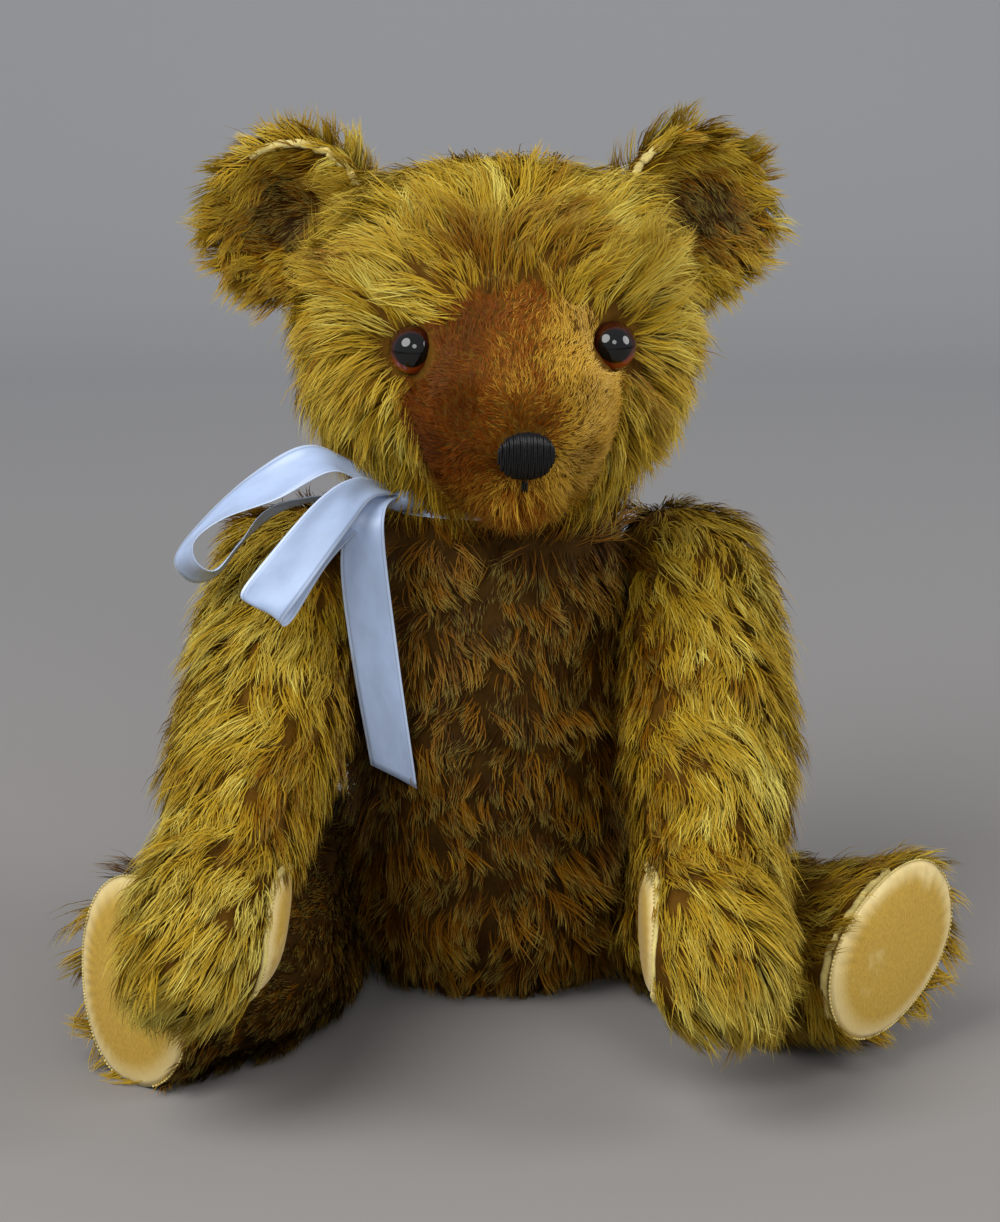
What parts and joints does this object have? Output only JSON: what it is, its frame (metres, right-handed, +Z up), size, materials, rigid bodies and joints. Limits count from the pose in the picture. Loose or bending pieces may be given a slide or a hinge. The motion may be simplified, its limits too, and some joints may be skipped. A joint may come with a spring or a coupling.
{
  "type": "teddy bear",
  "caption": "Jointed mohair teddy bear with worn fur, glass eyes, stitched nose, velvet palms and soles and a satin neck ribbon, sitting with its arms forward.",
  "frame": {"origin": "middle of the flat under the bear's seat", "axes": "+Z up, -Y the way the bear faces, -X the bear's right side"},
  "size_m": [0.3888, 0.2844, 0.399],
  "materials": {
    "mohair": "long curled mohair pile, golden with brown roots",
    "dark_mohair": "shorter, flattened mohair pile, worn along its front seam",
    "clipped_mohair": "mohair pile clipped short, rust to gold",
    "velvet": "rubbed cotton velvet",
    "stuffing": "packed wood wool",
    "fibreboard": "pressed board",
    "steel": "dull steel",
    "glass_eye": "polished glass with a black pupil and an amber iris painted behind it",
    "thread": "pearled cotton",
    "satin": "satin with a corded edge"
  },
  "bodies": {
    "torso": {"torso_cover": "dark_mohair", "torso_stuffing": "stuffing", "neck_ribbon": "satin", "torso_neck_disc": "fibreboard", "torso_neck_washer": "steel", "torso_right_arm_disc": "fibreboard", "torso_right_arm_washer": "steel", "torso_left_arm_disc": "fibreboard", "torso_left_arm_washer": "steel", "torso_right_leg_disc": "fibreboard", "torso_right_leg_washer": "steel", "torso_left_leg_disc": "fibreboard", "torso_left_leg_washer": "steel"},
    "head": {"head_cover": "mohair", "muzzle_cover": "clipped_mohair", "head_stuffing": "stuffing", "right_eye": "glass_eye", "left_eye": "glass_eye", "nose_stitching": "thread", "right_ear": "mohair", "left_ear": "mohair", "head_disc": "fibreboard", "head_washer": "steel", "neck_split_pin": "steel"},
    "right_arm": {"right_arm_cover": "mohair", "right_arm_palm_pad": "velvet", "right_arm_stuffing": "stuffing", "right_arm_disc": "fibreboard", "right_arm_washer": "steel", "right_shoulder_split_pin": "steel"},
    "left_arm": {"left_arm_cover": "mohair", "left_arm_palm_pad": "velvet", "left_arm_stuffing": "stuffing", "left_arm_disc": "fibreboard", "left_arm_washer": "steel", "left_shoulder_split_pin": "steel"},
    "right_leg": {"right_leg_cover": "mohair", "right_leg_sole": "velvet", "right_leg_stuffing": "stuffing", "right_leg_disc": "fibreboard", "right_leg_washer": "steel", "right_hip_split_pin": "steel"},
    "left_leg": {"left_leg_cover": "mohair", "left_leg_sole": "velvet", "left_leg_stuffing": "stuffing", "left_leg_disc": "fibreboard", "left_leg_washer": "steel", "left_hip_split_pin": "steel"}
  },
  "joints": [
    {"name": "neck", "type": "hinge", "parent": "torso", "child": "head", "pos_m": [0.002, 0, 0.247], "axis": [0, 0, 1], "range_deg": [-30, 30]},
    {"name": "right_shoulder", "type": "hinge", "parent": "torso", "child": "right_arm", "pos_m": [-0.061, 0.002, 0.19], "axis": [-0.9962, 0.0872, 0], "range_deg": [0, 55], "deforming": ["neck_ribbon"]},
    {"name": "left_shoulder", "type": "hinge", "parent": "torso", "child": "left_arm", "pos_m": [0.061, 0.002, 0.19], "axis": [-0.9994, -0.0349, 0], "range_deg": [0, 55]},
    {"name": "right_hip", "type": "hinge", "parent": "torso", "child": "right_leg", "pos_m": [-0.0575, 0.004, 0.047], "axis": [0.9752, -0.1371, 0.1736], "range_deg": [0, 90]},
    {"name": "left_hip", "type": "hinge", "parent": "torso", "child": "left_leg", "pos_m": [0.0575, 0.004, 0.047], "axis": [0.9698, 0.171, -0.1736], "range_deg": [0, 90]}
  ]
}
